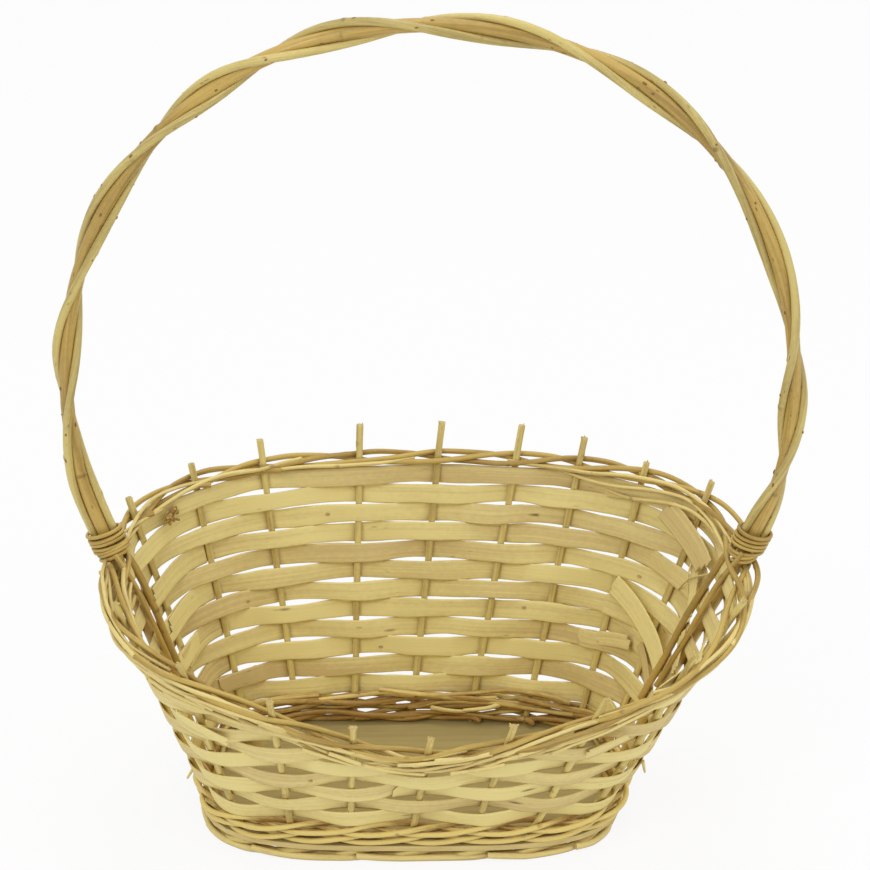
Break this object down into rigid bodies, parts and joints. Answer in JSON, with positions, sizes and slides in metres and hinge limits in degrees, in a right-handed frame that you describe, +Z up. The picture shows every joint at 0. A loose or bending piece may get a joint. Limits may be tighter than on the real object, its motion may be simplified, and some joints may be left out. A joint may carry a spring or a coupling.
{
  "type": "gift basket",
  "caption": "Oval woven willow and splint basket with a low front, high back and a tall twisted hoop handle bound in at both ends.",
  "frame": {"origin": "middle of the basket's box, at floor level", "axes": "+Z up, +X to the right end of the handle, +Y to the high back wall"},
  "size_m": [0.455, 0.244, 0.5419],
  "materials": {
    "board_wood": "bare thin board, matt",
    "stake_willow": "peeled willow, dry satin",
    "wale_willow": "peeled willow, dry satin",
    "splint_wood": "shaved wood splint, matt",
    "handle_core_willow": "peeled willow, dry satin",
    "handle_twist_willow": "peeled willow, dry satin",
    "binding_willow": "peeled willow, dry satin"
  },
  "bodies": {
    "root": {"base_board": "board_wood", "stake_01": "stake_willow", "stake_02": "stake_willow", "stake_03": "stake_willow", "stake_04": "stake_willow", "stake_05": "stake_willow", "stake_06": "stake_willow", "stake_07": "stake_willow", "stake_08": "stake_willow", "stake_09": "stake_willow", "stake_10": "stake_willow", "stake_11": "stake_willow", "stake_12": "stake_willow", "stake_13": "stake_willow", "stake_14": "stake_willow", "stake_15": "stake_willow", "stake_16": "stake_willow", "stake_17": "stake_willow", "stake_18": "stake_willow", "base_wale_rod_01": "wale_willow", "base_wale_rod_02": "wale_willow", "base_wale_rod_03": "wale_willow", "base_wale_rod_04": "wale_willow", "base_wale_rod_05": "wale_willow", "base_wale_rod_06": "wale_willow", "splint_row_01": "splint_wood", "splint_row_02": "splint_wood", "splint_row_03": "splint_wood", "splint_row_04": "splint_wood", "splint_row_05": "splint_wood", "splint_row_06": "splint_wood", "splint_row_07": "splint_wood", "splint_row_08": "splint_wood", "splint_row_09": "splint_wood", "splint_row_10": "splint_wood", "splint_row_11": "splint_wood", "splint_row_12": "splint_wood", "rim_wale_rod_01": "wale_willow", "rim_wale_rod_02": "wale_willow", "rim_wale_rod_03": "wale_willow", "handle_core": "handle_core_willow", "handle_twist_rod_01": "handle_twist_willow", "handle_twist_rod_02": "handle_twist_willow", "right_binding": "binding_willow", "left_binding": "binding_willow"}
  },
  "joints": []
}
